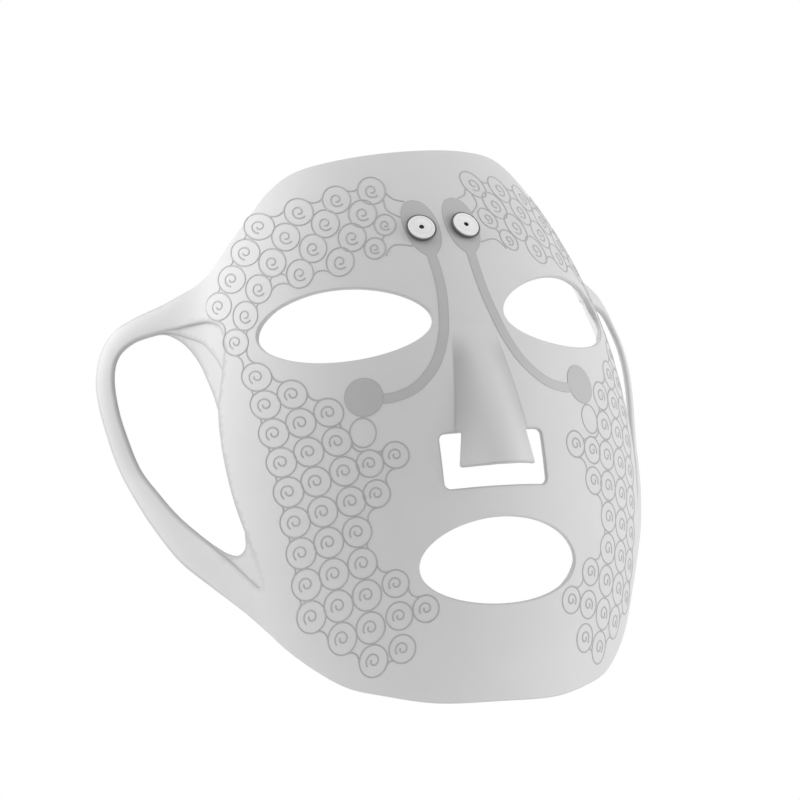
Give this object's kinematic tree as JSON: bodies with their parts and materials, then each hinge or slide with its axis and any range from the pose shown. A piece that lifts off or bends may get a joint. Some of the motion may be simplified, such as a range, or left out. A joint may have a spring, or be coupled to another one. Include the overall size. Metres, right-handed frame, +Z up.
{
  "type": "led face mask",
  "caption": "Curved silicone full-face mask with eye, nose and mouth openings, ring-shaped light cells, forehead terminals and ear loops.",
  "frame": {"origin": "on the head's axis, in the mask's middle plane, level with the widest part of the sheet", "axes": "+Z up along the head's axis, -Y out of the face, +X to the wearer's left"},
  "size_m": [0.2244, 0.1231, 0.222],
  "materials": {
    "silicone_outer": "matte light-grey moulded silicone",
    "silicone_inner": "satin translucent light-grey silicone",
    "circuit_film": "amber polyimide film",
    "emitter": "white light-emitter body",
    "ring_print": "grey conductive print",
    "bus_print": "grey conductive print",
    "pad_print": "darker grey conductive print",
    "terminal_white": "white satin plastic",
    "contact_dark": "blackened steel",
    "rivet_metal": "plain steel"
  },
  "bodies": {
    "mask": {"outer_skin": "silicone_outer", "inner_skin": "silicone_inner", "forehead_film_left": "circuit_film", "forehead_film_right": "circuit_film", "cheek_film_left": "circuit_film", "cheek_film_right": "circuit_film", "forehead_leds_left": "emitter", "forehead_leds_right": "emitter", "cheek_leds_left": "emitter", "cheek_leds_right": "emitter", "forehead_rings_left": "ring_print", "forehead_rings_right": "ring_print", "cheek_rings_left": "ring_print", "cheek_rings_right": "ring_print", "bus_strip_left": "bus_print", "bus_strip_right": "bus_print", "cheek_pad_left": "pad_print", "cheek_pad_right": "pad_print", "terminal_disc_left": "terminal_white", "terminal_disc_right": "terminal_white", "terminal_contact_left": "contact_dark", "terminal_contact_right": "contact_dark", "terminal_rivet_left": "rivet_metal", "terminal_rivet_right": "rivet_metal", "backing_washer_left": "rivet_metal", "backing_washer_right": "rivet_metal"},
    "left_loop": {"ear_loop_left": "silicone_outer"},
    "right_loop": {"ear_loop_right": "silicone_outer"},
    "nose_tip": {"nose_flap": "silicone_outer"}
  },
  "joints": [
    {"name": "left_loop_swing", "type": "hinge", "parent": "mask", "child": "left_loop", "pos_m": [0.07797, -0.02394, 0.006], "axis": [0, 0, 1], "range_deg": [-12, 30], "stiffness_Nm_per_rad": 0.02},
    {"name": "right_loop_swing", "type": "hinge", "parent": "mask", "child": "right_loop", "pos_m": [-0.07797, -0.02394, 0.006], "axis": [0, 0, -1], "range_deg": [-12, 30], "stiffness_Nm_per_rad": 0.02},
    {"name": "nose_tip_bend", "type": "hinge", "parent": "mask", "child": "nose_tip", "pos_m": [0, -0.0975, -0.0098], "axis": [1, 0, 0], "range_deg": [-15, 15], "stiffness_Nm_per_rad": 0.004}
  ]
}
